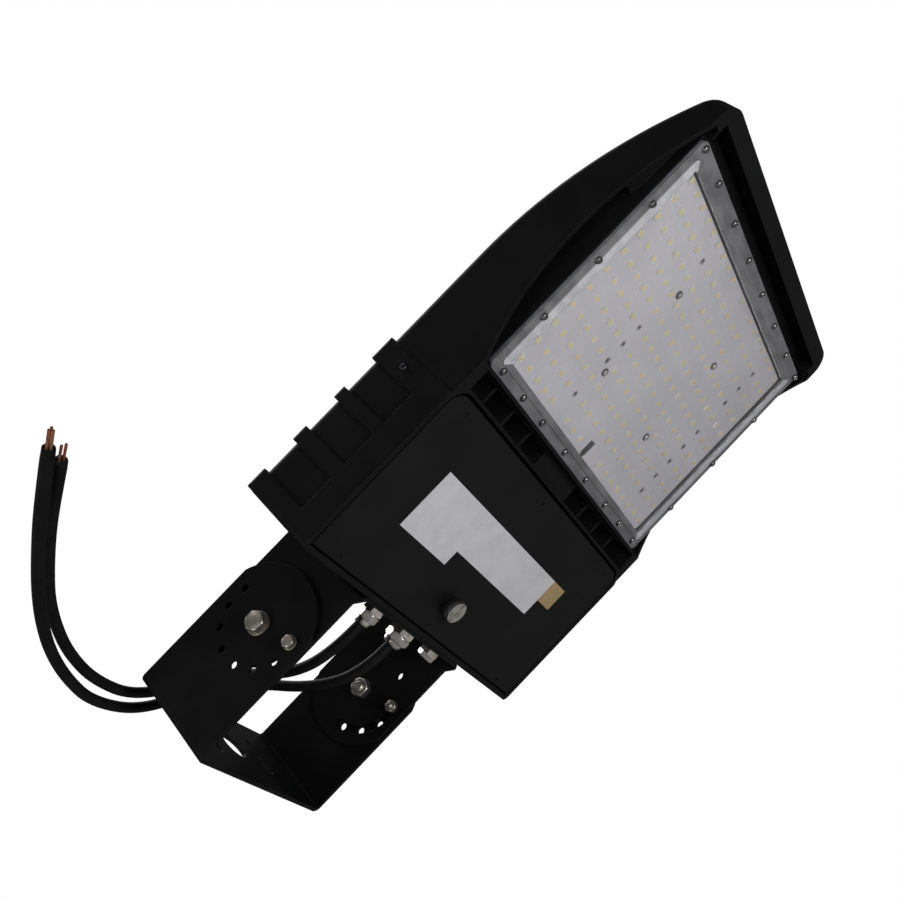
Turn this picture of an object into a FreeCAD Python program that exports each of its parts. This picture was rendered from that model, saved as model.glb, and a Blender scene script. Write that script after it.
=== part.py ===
import FreeCAD, Part
import math
import os
import re
import Sketcher

# A shoebox area light on a trunnion yoke, lamp side down. Millimetres, +Z up, +X towards the nose.
# The origin is the centre of the yoke's rear face, level with the tilt pivot. Pieces of the head are
# drawn from the foot of the housing's rear wall and then seated there.
V = FreeCAD.Vector
doc = FreeCAD.newDocument("area_light")

SIZES = (
    # yoke: a bent strap with two ears
    ("yoke_width", 150.0), ("yoke_height", 79.0), ("yoke_wall", 3.0), ("yoke_bend", 5.0),
    ("pivot_reach", 83.7), ("nose_bulge", 3.0),
    ("hub_hole", 22.0), ("slot_spacing", 64.0), ("slot_length", 35.0), ("slot_width", 9.0),
    ("index_radius", 30.0), ("index_hole", 5.6), ("index_first", 75.0), ("index_step", 30.0),
    ("index_count", 8.0), ("tether_hole", 6.5), ("tether_angle", -28.0),
    # pivot and lock hardware
    ("pivot_size", 8.0), ("pivot_play", 0.25), ("pivot_flats", 13.0), ("pivot_head", 5.3),
    ("pivot_washer", 17.0), ("washer_wall", 1.6), ("pivot_nut", 6.5),
    ("lock_size", 5.0), ("lock_play", 0.4), ("lock_flats", 8.0), ("lock_head", 3.5),
    ("lock_washer", 10.0), ("lock_nut", 4.5), ("bolt_tail", 2.0),
    # head bracket between the ears
    ("bracket_wall", 3.0), ("bracket_height", 77.0), ("ear_gap", 0.3), ("rear_reach", 62.7),
    ("base_low", 2.0), ("base_high", 62.0), ("ear_step", 10.0), ("slot_sweep", 95.0),
    ("bracket_bolt", 6.0), ("bolt_flats", 10.0), ("bolt_head", 4.0), ("bolt_inset", 11.7),
    ("bolt_low", 28.0), ("bolt_rise", 24.0),
    # housing
    ("house_length", 364.4), ("house_width", 310.0), ("house_height", 65.0), ("pivot_height", 45.5),
    ("box_length", 125.8), ("rib_rise", 2.0), ("rib_floor", 20.0), ("rib_wrap", 40.0),
    ("crown_start", 200.0), ("nose_height", 13.95), ("crown_edge", 6.0), ("nose_corner", 14.0),
    ("box_edge", 4.0), ("ledge_height", 5.2), ("rear_lip", 4.0),
    ("side_lip", 4.0), ("rear_wall", 9.0), ("side_wall", 9.0), ("bay_height", 60.0),
    ("side_screw_inset", 9.5), ("side_screw_height", 39.0), ("side_screw_bite", 6.0),
    ("bay_wall", 4.0), ("trench_reach", 5.1), ("door_overhang", 3.3), ("door_gap", 1.5),
    ("hinge_groove", 2.2), ("hinge_setback", 14.0), ("trench_height", 21.0), ("rim_wall", 2.2),
    ("vent_length", 15.0), ("vent_depth", 8.0), ("vent_side", 9.0), ("vent_block", 29.0),
    ("vent_pitch", 29.3), ("vent_fin", 2.6), ("vent_inset", 1.0),
    # lamp deck under the crown
    ("lens_start", 151.4), ("nose_recess", 13.6), ("lens_wall", 2.5),
    ("lens_face", 2.5), ("lens_gap", 0.7), ("gasket_wall", 1.6), ("deck_top", 16.0),
    ("skirt_wall", 3.0), ("skirt_gap", 6.6), ("skirt_top", 42.0), ("arch_height", 20.0),
    ("arch_start", 150.0), ("arch_inset", 22.4), ("lip_wall", 12.4), ("lip_depth", 15.0),
    ("heat_fin", 2.5), ("heat_side", 11.95), ("heat_count", 14.0), ("heat_inset", 3.4),
    # lamp board
    ("board_rear", 12.1), ("board_front", 15.4), ("board_side", 13.2), ("board_wall", 1.6),
    ("pad_wall", 0.5), ("board_gap", 1.0), ("chip_size", 5.0), ("chip_wall", 0.7),
    ("chip_rear", 6.4), ("chip_front", 3.1), ("chip_side", 7.64), ("chip_columns", 11.0),
    ("chip_rows", 19.0), ("board_screw_rear", 5.5), ("board_screw_front", 4.9),
    ("board_screw_side", 5.98), ("plug_length", 11.0), ("plug_width", 3.0), ("plug_height", 2.2),
    ("plug_inset", 1.5), ("lead_size", 1.4),
    # screws, glands and cords
    ("screw_size", 3.0), ("screw_head", 6.0), ("screw_cap", 2.0), ("screw_bite", 8.0),
    ("lens_screw_inset", 4.2), ("cord_size", 7.5), ("gland_height", 14.0), ("gland_near", 19.0),
    ("gland_mid", 5.0), ("gland_far", 9.0), ("small_thread", 12.0), ("small_flats", 13.5),
    ("gland_thread", 16.0), ("gland_flats", 17.0),
    ("gland_flange", 5.0), ("gland_nut", 7.0), ("gland_cone", 4.0), ("locknut", 4.5),
    ("plug_cap", 5.0), ("fit_gap", 0.1), ("conductor", 1.6), ("conductor_length", 14.0),
    # door
    ("door_wall", 2.5), ("door_corner", 12.0), ("dimple", 3.2), ("dimple_depth", 0.8),
    ("seal_wall", 2.4), ("seal_width", 2.6), ("hinge_pin", 3.0), ("hinge_arm", 5.0),
    ("hinge_width", 8.0), ("hinge_spread", 220.0), ("hinge_play", 0.3), ("label_wall", 0.2),
    ("knob_reach", 29.0), ("knob_size", 17.0), ("knob_height", 9.0), ("knob_stem", 11.0),
    ("knob_face", 1.4), ("knob_bolt", 5.0), ("knob_bite", 11.0), ("knob_post", 12.0),
    ("knob_play", 0.9),
    # what the box holds
    ("driver_room", 60.0), ("driver_clear", 5.0), ("driver_height", 34.0),
    ("driver_gap", 2.0), ("driver_shift", -12.0), ("guard_length", 52.0), ("guard_width", 24.0),
    ("guard_height", 26.0), ("block_length", 40.0), ("block_width", 20.0), ("block_height", 16.0),
)

sheet = doc.addObject("Spreadsheet::Sheet", "sizes")
for row, (alias, value) in enumerate(SIZES, 1):
    sheet.set("A%d" % row, str(value))
    sheet.setAlias("A%d" % row, alias)
doc.recompute()
ALIASES = {alias for alias, value in SIZES}


def linked(text):
    """An expression with each size's name pointing at its cell."""
    return re.sub(r"[a-z]\w*", lambda word: ("sizes." if word[0] in ALIASES else "") + word[0], str(text))


def measure(text):
    """The value of an expression of sizes, as a number."""
    return float(sheet.evalExpression(linked(text)))


def bind(thing, **properties):
    for name, text in properties.items():
        thing.setExpression(name.replace("_", "."), linked(text))
    return thing


# ---- building blocks -------------------------------------------------------------------------
TURNS = {"x": FreeCAD.Rotation(V(0, 1, 0), 90), "y": FreeCAD.Rotation(V(1, 0, 0), -90),
         "z": FreeCAD.Rotation(), "-z": FreeCAD.Rotation(V(1, 0, 0), 180)}


def put(thing, x, y, z, along="z"):
    thing.Placement = FreeCAD.Placement(V(), TURNS[along])
    for axis, text in (("x", x), ("y", y), ("z", z)):
        thing.setExpression("Placement.Base." + axis, linked(text))
    return thing


def block(length, width, height, x, y, z):
    """A box from its lowest corner."""
    box = bind(doc.addObject("Part::Box", "block"), Length=length, Width=width, Height=height)
    return put(box, x, y, z)


def wide(length, width, height, x, z):
    """A box centred on the plane of symmetry."""
    return block(length, width, height, x, "-(%s) / 2" % width, z)


def bar(radius, length, x, y, z, along="z"):
    """A round bar from one end, along an axis."""
    return put(bind(doc.addObject("Part::Cylinder", "bar"), Radius=radius, Height=length), x, y, z, along)


def cone(start, end, length, x, y, z, along="z"):
    thing = bind(doc.addObject("Part::Cone", "cone"), Radius1=start, Radius2=end, Height=length)
    return put(thing, x, y, z, along)


def hexagon(flats, length, x, y, z, along="z"):
    """A hexagonal bar, sized across its flats."""
    thing = doc.addObject("Part::Prism", "hexagon")
    thing.Polygon = 6
    return put(bind(thing, Circumradius="(%s) / sqrt(3)" % flats, Height=length), x, y, z, along)


def fused(*things):
    thing = doc.addObject("Part::MultiFuse", "fused")
    thing.Shapes = list(things)
    return thing


def without(body, *tools):
    thing = doc.addObject("Part::Cut", "cut")
    thing.Base = body
    thing.Tool = tools[0] if len(tools) == 1 else fused(*tools)
    return thing


def shared(first, second):
    thing = doc.addObject("Part::Common", "shared")
    thing.Base = first
    thing.Tool = second
    return thing


def group(things):
    thing = doc.addObject("Part::Compound", "group")
    thing.Links = list(things)
    return thing


def outline(body, plane, points, bend=None):
    """A closed sketch through points given as expressions. bend = (start point, radius) makes the
    run that leaves that point an arc of that radius, turning left about a centre."""
    sketch = body.newObject("Sketcher::SketchObject", "outline")
    sketch.AttachmentSupport = [(next(f for f in body.Origin.OriginFeatures if f.Role == plane), "")]
    sketch.MapMode = "FlatFace"
    ends = [V(measure(x), measure(y), 0) for x, y in points]
    for i, end in enumerate(ends):
        after = ends[(i + 1) % len(ends)]
        if bend and i == bend[0]:
            middle = V(*[measure(part) for part in bend[2]], 0)
            sketch.addGeometry(Part.Arc(end, middle, after))
        else:
            sketch.addGeometry(Part.LineSegment(end, after))
    for i, (x, y) in enumerate(points):
        start = sketch_end(sketch, i, ends[i])
        finish = sketch_end(sketch, i - 1 if i else len(points) - 1, ends[i])
        first = (i, start, i - 1 if i else len(points) - 1, finish)
        sketch.addConstraint(Sketcher.Constraint("Coincident", *first))
        for kind, text, value in (("DistanceX", x, ends[i].x), ("DistanceY", y, ends[i].y)):
            index = sketch.addConstraint(Sketcher.Constraint(kind, -1, 1, i, start, value))
            sketch.setExpression("Constraints[%d]" % index, linked(text))
    if bend:
        index = sketch.addConstraint(Sketcher.Constraint("Radius", bend[0], measure(bend[1])))
        sketch.setExpression("Constraints[%d]" % index, linked(bend[1]))
    return sketch


def sketch_end(sketch, index, point):
    """Which end of a sketch's line or arc lies at a point: 1 for its start, 2 for its end."""
    return 1 if sketch.getPoint(index, 1).distanceToPoint(point) < 1e-6 else 2


def pad(body, sketch, length, middle=True, back=False):
    thing = body.newObject("PartDesign::Pad", "pad")
    thing.Profile = sketch
    thing.Midplane = middle
    thing.Reversed = back
    return bind(thing, Length=length)


def rounded(body, radius, chosen):
    """Rounds the edges of a body's tip that the test picks, by their middle and direction."""
    doc.recompute()
    tip = body.Tip
    names = []
    for number, edge in enumerate(tip.Shape.Edges, 1):
        middle = edge.valueAt((edge.FirstParameter + edge.LastParameter) / 2)
        run = edge.Vertexes[-1].Point - edge.Vertexes[0].Point
        if chosen(middle, run):
            names.append("Edge%d" % number)
    thing = body.newObject("PartDesign::Fillet", "round")
    thing.Base = (tip, names)
    return bind(thing, Radius=radius)


def prism(plane, points, length, bend=None):
    """A straight prism on an outline, centred on its plane."""
    body = doc.addObject("PartDesign::Body", "prism")
    pad(body, outline(body, plane, points, bend), length)
    return body


# ---- named pieces ----------------------------------------------------------------------------
PIECES = []
REAR = "(pivot_reach + rear_reach)"
UNDER = "(-pivot_height)"


def piece(name, thing, on_head=True):
    """Names a finished piece and seats it: head pieces start at the foot of the rear wall."""
    if thing.ExpressionEngine:
        thing = group([thing])
    thing.Label = name
    if on_head:
        bind(thing, **{"Placement_Base_x": REAR, "Placement_Base_z": UNDER})
    PIECES.append(thing)
    return thing


def near(value, target, room=0.05):
    return abs(value - target) < room


# ---- yoke --------------------------------------------------------------------------------------
EAR_NOSE = "(yoke_height / 2 + nose_bulge)"
INSIDE = "(yoke_width / 2 - yoke_wall)"


def make_yoke():
    far = "(pivot_reach + %s + 1)" % EAR_NOSE
    strap = doc.addObject("PartDesign::Body", "strap")
    corners = [("0", "-yoke_width / 2"), (far, "-yoke_width / 2"), (far, "-" + INSIDE),
               ("yoke_wall", "-" + INSIDE), ("yoke_wall", INSIDE), (far, INSIDE),
               (far, "yoke_width / 2"), ("0", "yoke_width / 2")]
    pad(strap, outline(strap, "XY_Plane", corners), "yoke_height")
    half = measure("yoke_width / 2")
    inside = measure(INSIDE)
    rounded(strap, "yoke_bend", lambda m, r: near(m.x, 0) and near(abs(m.y), half) and abs(r.z) > 1)
    rounded(strap, "yoke_bend - yoke_wall",
            lambda m, r: near(m.x, measure("yoke_wall")) and near(abs(m.y), inside) and abs(r.z) > 1)
    reach = "(pivot_reach + sqrt(%s ^ 2 - (yoke_height / 2) ^ 2))" % EAR_NOSE
    side = prism("XZ_Plane", [("-1", "-yoke_height / 2"), (reach, "-yoke_height / 2"),
                              (reach, "yoke_height / 2"), ("-1", "yoke_height / 2")],
                 "yoke_width + 2", (1, EAR_NOSE, ("pivot_reach + " + EAR_NOSE, "0")))
    holes = [bar("pivot_size / 2 + pivot_play", "yoke_width + 2", "pivot_reach", "-yoke_width / 2 - 1",
                 "0", "y"),
             bar("hub_hole / 2", "yoke_wall + 2", "-1", "0", "0", "x")]
    for number in range(int(measure("index_count"))):
        angle = "(index_first + %d * index_step)" % number
        holes.append(bar("index_hole / 2", "yoke_width + 2", "pivot_reach + index_radius * cos(%s)" % angle,
                         "-yoke_width / 2 - 1", "index_radius * sin(%s)" % angle, "y"))
    holes.append(tether_hole("yoke_width / 2 - yoke_wall - 0.1", "yoke_wall + 1", "pivot_reach", "0"))
    run = "(slot_length - slot_width)"
    for side_sign in ("-", ""):
        across = side_sign + "slot_spacing / 2"
        holes.append(block("yoke_wall + 2", "slot_width", run, "-1", across + " - slot_width / 2",
                           "-%s / 2" % run))
        for end in ("-", ""):
            holes.append(bar("slot_width / 2", "yoke_wall + 2", "-1", across, end + run + " / 2", "x"))
    return piece("yoke", without(shared(strap, side), *holes), False)


def tether_hole(start, length, x, z):
    """The hole near the far ear's nose."""
    return bar("tether_hole / 2", length, x + " + index_radius * cos(tether_angle)", start,
               z + " + index_radius * sin(tether_angle)", "y")


# ---- pivot and lock hardware ---------------------------------------------------------------------
STACK = "(yoke_wall + ear_gap + bracket_wall)"
LOCK_ANGLE = "(index_first + (index_count - 1) * index_step)"


def hardware(name, size, flats, head, washer, nut, x, z):
    """A bolt, washer and nut at each ear: the head outside, the nut inside."""
    bolts, washers, nuts = [], [], []
    for side in (-1, 1):
        face = "(yoke_width / 2)"

        def across(text, length, side=side):
            return "-(%s) - (%s)" % (text, length) if side < 0 else text
        length = "%s + washer_wall + %s + bolt_tail" % (STACK, nut)
        start = "%s - %s - %s - bolt_tail" % (face, STACK, nut)
        shank = bar(size + " / 2", length, x, across(start, length), z, "y")
        cap = hexagon(flats, head, x, across(face + " + washer_wall", head), z, "y")
        bolts.append(fused(shank, cap))
        ring = bar(washer + " / 2", "washer_wall", x, across(face, "washer_wall"), z, "y")
        bore = bar(size + " / 2 + fit_gap", "washer_wall", x, across(face, "washer_wall"), z, "y")
        washers.append(without(ring, bore))
        seat = "%s - %s - %s" % (face, STACK, nut)
        shell = hexagon(flats, nut, x, across(seat, nut), z, "y")
        thread = bar(size + " / 2 + fit_gap", nut, x, across(seat, nut), z, "y")
        nuts.append(without(shell, thread))
    piece(name + "_bolts", group(bolts), False)
    piece(name + "_washers", group(washers), False)
    piece(name + "_nuts", group(nuts), False)


# ---- head bracket ----------------------------------------------------------------------------------
EAR_OUT = "(%s - ear_gap)" % INSIDE
EAR_IN = "(%s - bracket_wall)" % EAR_OUT
BOLT_HALF = "(%s - bolt_inset)" % EAR_IN
GLAND_NEAR = "(-%s + gland_near)" % BOLT_HALF
GLAND_FAR = "(%s - gland_far)" % BOLT_HALF
GLANDS = ((GLAND_NEAR, "small_thread", "small_flats"), ("gland_mid", "gland_thread", "gland_flats"),
          (GLAND_FAR, "small_thread", "small_flats"))


def bracket_bolt_spots():
    for side in ("-", ""):
        for lift in ("bolt_low", "bolt_low + bolt_rise"):
            yield side + BOLT_HALF, lift


def make_bracket():
    nose = "(bracket_height / 2 + nose_bulge)"
    back = "(-rear_reach - sqrt(%s ^ 2 - (bracket_height / 2) ^ 2))" % nose
    rear = "(-rear_reach - %s - 1)" % nose
    strap = doc.addObject("PartDesign::Body", "bracket_strap")
    corners = [("0", "-" + EAR_OUT), ("0", EAR_OUT), (rear, EAR_OUT), (rear, EAR_IN),
               ("-bracket_wall", EAR_IN), ("-bracket_wall", "-" + EAR_IN), (rear, "-" + EAR_IN),
               (rear, "-" + EAR_OUT)]
    pad(strap, outline(strap, "XY_Plane", corners), "4 * bracket_height")
    out, inner = measure(EAR_OUT), measure(EAR_IN)
    rounded(strap, "yoke_bend", lambda m, r: near(m.x, 0) and near(abs(m.y), out) and abs(r.z) > 1)
    rounded(strap, "yoke_bend - yoke_wall",
            lambda m, r: near(m.x, -measure("bracket_wall")) and near(abs(m.y), inner) and abs(r.z) > 1)
    low = "(pivot_height - bracket_height / 2)"
    high = "(pivot_height + bracket_height / 2)"
    bend = "(-bracket_wall - 1)"
    side = prism("XZ_Plane", [("1", "base_low"), ("1", "base_high"), (bend, "base_high"),
                              ("-ear_step + 3", "base_high + 3"), ("-ear_step + 3", high + " - 3"),
                              ("-ear_step", high), (back, high), (back, low), ("-ear_step", low),
                              (bend, "base_low")],
                 "yoke_width", (6, nose, ("-rear_reach - " + nose, "pivot_height")))
    width = "yoke_width + 2"
    holes = [bar("pivot_size / 2 + pivot_play", width, "-rear_reach", "-yoke_width / 2 - 1",
                 "pivot_height", "y"),
             tether_hole(EAR_IN + " - 1", "bracket_wall + 2", "-rear_reach", "pivot_height"),
             lock_track(width)]
    for across, lift in bracket_bolt_spots():
        holes.append(bar("bracket_bolt / 2 + fit_gap", "bracket_wall + 2", "-bracket_wall - 1", across,
                         lift, "x"))
    for across, thread, flats in GLANDS:
        holes.append(bar(thread + " / 2 + fit_gap", "bracket_wall + 2", "-bracket_wall - 1", across,
                         "gland_height", "x"))
    piece("head_bracket", without(shared(strap, side), *holes))


def lock_track(width):
    """The arc slot that the lock bolts stand in while the head tilts about the pivot."""
    reach = "(lock_size / 2 + lock_play)"
    ring = bar("index_radius + " + reach, width, "0", "0", "0")
    core = bar("index_radius - " + reach, width, "0", "0", "0")
    bind(ring, Angle="slot_sweep")
    sweep = without(ring, core)
    ends = [bar(reach, width, "index_radius * cos(%s)" % turn, "index_radius * sin(%s)" % turn, "0")
            for turn in ("0", "slot_sweep")]
    track = fused(sweep, *ends)
    doc.recompute()
    stand = FreeCAD.Rotation(V(1, 0, 0), 90) * FreeCAD.Rotation(V(0, 0, 1),
                                                                 measure(LOCK_ANGLE + " - slot_sweep"))
    track.Placement = FreeCAD.Placement(V(), stand)
    bind(track, Placement_Base_x="-rear_reach", Placement_Base_y="(%s) / 2" % width,
         Placement_Base_z="pivot_height")
    return track


def make_bracket_bolts():
    """Hex bolts that hold the bracket to the housing's rear wall."""
    bolts = []
    for across, lift in bracket_bolt_spots():
        bite = "(bracket_wall + rear_wall - 2)"
        shank = bar("bracket_bolt / 2", bite, "-bracket_wall", across, lift, "x")
        head = hexagon("bolt_flats", "bolt_head", "-bracket_wall - bolt_head", across, lift, "x")
        bolts.append(fused(shank, head))
    piece("bracket_bolts", group(bolts))


# ---- housing -----------------------------------------------------------------------------------------
BASE_HALF = "(house_width / 2 - rib_rise)"
BASE_TOP = "(house_height - rib_rise)"
DOOR_END = "(box_length + door_overhang)"
RECESS_END = "(%s + hinge_groove)" % DOOR_END
RECESS_HALF = "(%s - side_lip + rib_rise)" % BASE_HALF
HINGE_X = "(%s - hinge_setback)" % DOOR_END
TRENCH_X = "(%s - trench_reach)" % HINGE_X
BAY_END = "(%s - bay_wall)" % TRENCH_X
BAY_HALF = "(house_width / 2 - side_wall)"
VENT_X = "(%s + rim_wall)" % RECESS_END
SPLIT_X = "(%s + rim_wall / 2)" % RECESS_END
SKIRT_IN = "(%s - skirt_wall)" % BASE_HALF
VENT_HALF = "(%s - vent_side)" % BASE_HALF
CROWN_RUN = "(house_length - crown_start)"
CROWN_DROP = "(%s - nose_height)" % BASE_TOP
CROWN_RADIUS = "((%s ^ 2 + %s ^ 2) / (2 * %s))" % (CROWN_RUN, CROWN_DROP, CROWN_DROP)
LIP_START = "(house_length - lip_wall)"
ARCH_END = "(house_length - arch_inset)"
LENS_END = "(%s - nose_recess)" % LIP_START
LENS_HALF = "(%s - skirt_gap - lens_gap)" % SKIRT_IN
LENS_WIDTH = "(2 * %s)" % LENS_HALF
HEAT_GAP = "((2 * %s - 2 * heat_side - (heat_count - 1) * heat_fin) / heat_count)" % SKIRT_IN
BOARD_START = "(lens_start + board_rear)"
BOARD_END = "(%s - board_front)" % LENS_END
BOARD_WIDTH = "(%s - 2 * board_side)" % LENS_WIDTH
CHIP_START = "(%s + chip_rear)" % BOARD_START
CHIP_PITCH = "((%s - chip_front - %s) / (chip_columns - 1))" % (BOARD_END, CHIP_START)
CHIP_ROW = "((%s - 2 * chip_side) / (chip_rows - 1))" % BOARD_WIDTH
SEAT = "(lens_face + lens_wall + gasket_wall)"
BOARD_SEAT = "(%s + chip_wall + board_wall + pad_wall + 0.4)" % SEAT
SIDE_SCREW_X = "(box_length - side_screw_inset)"
PANELS = (("15", "39.5"), ("box_length * 0.404", "box_length * 0.596"),
          ("box_length - 41.8", "box_length - 17.8"))


def make_shell():
    """The cast shell from outside: a crowned body with the ribbed box round its rear half."""
    body = doc.addObject("PartDesign::Body", "crowned_body")
    part_way = "(%s / 2)" % CROWN_RUN
    middle = ("crown_start + " + part_way,
              "%s - %s + sqrt(%s ^ 2 - %s ^ 2)" % (BASE_TOP, CROWN_RADIUS, CROWN_RADIUS, part_way))
    points = [("0", "0"), ("house_length", "0"), ("house_length", "nose_height"), ("crown_start", BASE_TOP),
              ("0", BASE_TOP)]
    pad(body, outline(body, "XZ_Plane", points, (2, CROWN_RADIUS, middle)), "2 * " + BASE_HALF)
    length, half, top = measure("house_length"), measure(BASE_HALF), measure(BASE_TOP)
    rounded(body, "nose_corner",
            lambda m, r: near(m.x, length) and near(abs(m.y), half) and near(r.Length, abs(r.z)))
    rounded(body, "crown_edge", lambda m, r: m.z > measure("nose_height") - 1 and m.x > 1
            and (near(abs(m.y), half) or m.x > length - measure("nose_corner"))
            and not near(r.Length, abs(r.z)))
    box = doc.addObject("PartDesign::Body", "ribbed_box")
    corners = [("0", "0"), ("box_length", "0"), ("box_length", "house_height"), ("0", "house_height")]
    pad(box, outline(box, "XZ_Plane", corners), "house_width")
    wide_half, high = measure("house_width / 2"), measure("house_height")
    rounded(box, "box_edge", lambda m, r: near(abs(m.y), wide_half) and m.z > 1)
    cuts = []
    for start, end in PANELS:
        for side in (-1, 1):
            inner = "(house_width / 2 - rib_wrap)"
            cuts.append(block("%s - (%s)" % (end, start), "rib_wrap + 1", "house_height", start,
                              inner if side > 0 else "-%s - rib_wrap - 1" % inner, "rib_floor"))
    return fused(body, without(box, *cuts))


def recess(start, height):
    """A pocket under the door from a start to the recess's rounded front corners."""
    body = doc.addObject("PartDesign::Body", "recess")
    corners = [(start, "-" + RECESS_HALF), (RECESS_END, "-" + RECESS_HALF), (RECESS_END, RECESS_HALF),
               (start, RECESS_HALF)]
    pad(body, outline(body, "XY_Plane", corners), "2 * (%s)" % height)
    end = measure(RECESS_END)
    rounded(body, "door_corner + door_gap", lambda m, r: near(m.x, end) and near(r.Length, abs(r.z)))
    return body


def bay_cuts():
    """The door's recess, the wiring bay, the hinge trench and the holes in the rear wall."""
    cuts = [recess("rear_lip", "ledge_height"), recess(TRENCH_X, "trench_height"),
            wide(BAY_END + " - rear_wall", "2 * " + BAY_HALF, "bay_height", "rear_wall", "0")]
    for across, thread, flats in GLANDS:
        cuts.append(bar(thread + " / 2 + fit_gap", "rear_wall + 2", "-1", across, "gland_height", "x"))
    for across, lift in bracket_bolt_spots():
        cuts.append(bar("bracket_bolt / 2", "rear_wall - 2", "0", across, lift, "x"))
    return cuts


def vent_cuts():
    """The trough behind the door and its rows of air slots, each side of a solid block."""
    cuts = [wide("vent_length", "2 * " + VENT_HALF, "vent_depth", VENT_X, "0")]
    for side in (-1, 1):
        for number in range(4):
            start = "(vent_block + %d * vent_pitch)" % number
            width = "(vent_pitch - vent_fin)"
            y = start if side > 0 else "-%s - %s" % (start, width)
            if number == 3:
                width = "(%s - %s)" % (VENT_HALF, start)
                y = start if side > 0 else "-" + VENT_HALF
            cuts.append(block("vent_length - 2 * vent_inset", width, "house_height",
                              VENT_X + " + vent_inset", y, "0"))
    return cuts


def deck_cuts():
    """The lens seat, board pocket, skirt gaps, front recess, arched skirts and heat sink slots."""
    half_lens = "(%s + lens_gap)" % LENS_HALF
    cuts = [wide(LENS_END + " - lens_start + 2 * lens_gap", "2 * " + SKIRT_IN, SEAT,
                 "lens_start - lens_gap", "0"),
            wide("%s - %s - lens_gap" % (LIP_START, LENS_END), LENS_WIDTH, "lip_depth",
                 LENS_END + " + lens_gap", "0"),
            wide("%s - %s + 2 * board_gap" % (BOARD_END, BOARD_START), BOARD_WIDTH + " + 2 * board_gap",
                 BOARD_SEAT, BOARD_START + " - board_gap", "0")]
    for side in (-1, 1):
        y = half_lens if side > 0 else "-" + SKIRT_IN
        for start, end, top in (("arch_start + 5", ARCH_END + " - 57", "skirt_top"),
                                (ARCH_END + " - 58", ARCH_END + " + 3", "lip_depth - 1")):
            cuts.append(block("%s - (%s)" % (end, start), "%s - %s" % (SKIRT_IN, half_lens), top, start,
                              y, "0"))
    span = "((%s - arch_start) / 2)" % ARCH_END
    radius = "((%s ^ 2 + arch_height ^ 2) / (2 * arch_height))" % span
    for side in (-1, 1):
        y = half_lens if side > 0 else "-house_width / 2 - 1"
        cuts.append(bar(radius, "house_width / 2 + 1 - " + half_lens, "arch_start + " + span, y,
                        "arch_height - " + radius, "y"))
    for number in range(int(measure("heat_count"))):
        pitch = "(%s + heat_fin)" % HEAT_GAP
        y = "(%d - (heat_count - 1) / 2) * %s - %s / 2" % (number, pitch, HEAT_GAP)
        cuts.append(block(LENS_END + " - heat_inset - lens_start - 4", HEAT_GAP, "house_height",
                          "lens_start + 4", y, "deck_top"))
    for x, y in board_screw_spots():
        cuts.append(bar("screw_size / 2", "screw_bite - 2", x, y, "%s - 0.5" % BOARD_SEAT))
    for x, y in lens_screw_spots():
        cuts.append(bar("screw_size / 2", "screw_bite", x, y, "%s - 0.5" % SEAT))
    return cuts


def board_screw_spots():
    """Between lamps: beside the fourth and eighth columns, outside the third row from the middle."""
    for x in ("%s + 3 * %s - board_screw_rear", "%s + 7 * %s + board_screw_front"):
        for side in ("-", ""):
            yield x % (CHIP_START, CHIP_PITCH), side + "(3 * %s + board_screw_side)" % CHIP_ROW


# Shares of the lens's length from its rear edge, and of its half width from the middle.
LENS_SIDE = (0.23316, 0.48289, 0.73209)
LENS_REAR = (0.15067, 0.44849, 0.67975, 0.911)
LENS_FRONT = (0.14716, 0.44149, 0.73581, 0.97057)


def lens_screw_spots():
    """Screws round the lens: more of them along its ends than its sides."""
    edge = "(%s - lens_screw_inset)" % LENS_HALF
    for side in ("-", ""):
        for share in LENS_SIDE:
            yield "lens_start + %s * (%s - lens_start)" % (share, LENS_END), side + edge
        for share in LENS_REAR:
            yield "lens_start + lens_screw_inset", "%s%s * %s" % (side, share, LENS_HALF)
        for share in LENS_FRONT:
            yield LENS_END + " - lens_screw_inset", "%s%s * %s" % (side, share, LENS_HALF)


def hinge_sides():
    return ("-hinge_spread / 2", "hinge_spread / 2")


def shell_half(start, end):
    """The shell between two planes square to X, cut out, before its posts."""
    shell = without(make_shell(), *(bay_cuts() + vent_cuts() + deck_cuts()))
    return shared(shell, wide("%s - %s" % (end, start), "2 * house_width", "2 * house_height", start, "-1"))


def make_housing():
    """The driver box with its posts, and the lamp body that carries on from it."""
    posts = [bar("knob_post / 2", "bay_height + 1 - ledge_height", "knob_reach", "0", "ledge_height")]
    bores = [bar("knob_bolt / 2 + knob_play", "knob_bite + 3", "knob_reach", "0", "ledge_height - 1")]
    for middle in hinge_sides():
        posts.append(block("hinge_arm", "hinge_width", "trench_height - ledge_height + 1",
                           HINGE_X + " - hinge_arm / 2", middle + " - hinge_width / 2", "ledge_height"))
        posts.append(bar("hinge_arm / 2", "hinge_width", HINGE_X, middle + " - hinge_width / 2",
                         "ledge_height", "y"))
        bores.append(bar("hinge_pin / 2 + fit_gap", "hinge_width + 2", HINGE_X,
                         middle + " - hinge_width / 2 - 1", "ledge_height", "y"))
    for side in (-1, 1):
        start = "house_width / 2 - side_screw_bite" if side > 0 else "-house_width / 2"
        bores.append(bar("screw_size / 2", "side_screw_bite", SIDE_SCREW_X, start,
                         "side_screw_height", "y"))
    piece("driver_box", without(fused(shell_half("-1", SPLIT_X), *posts), *bores))
    piece("lamp_body", shell_half(SPLIT_X, "(house_length + 1)"))


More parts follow.
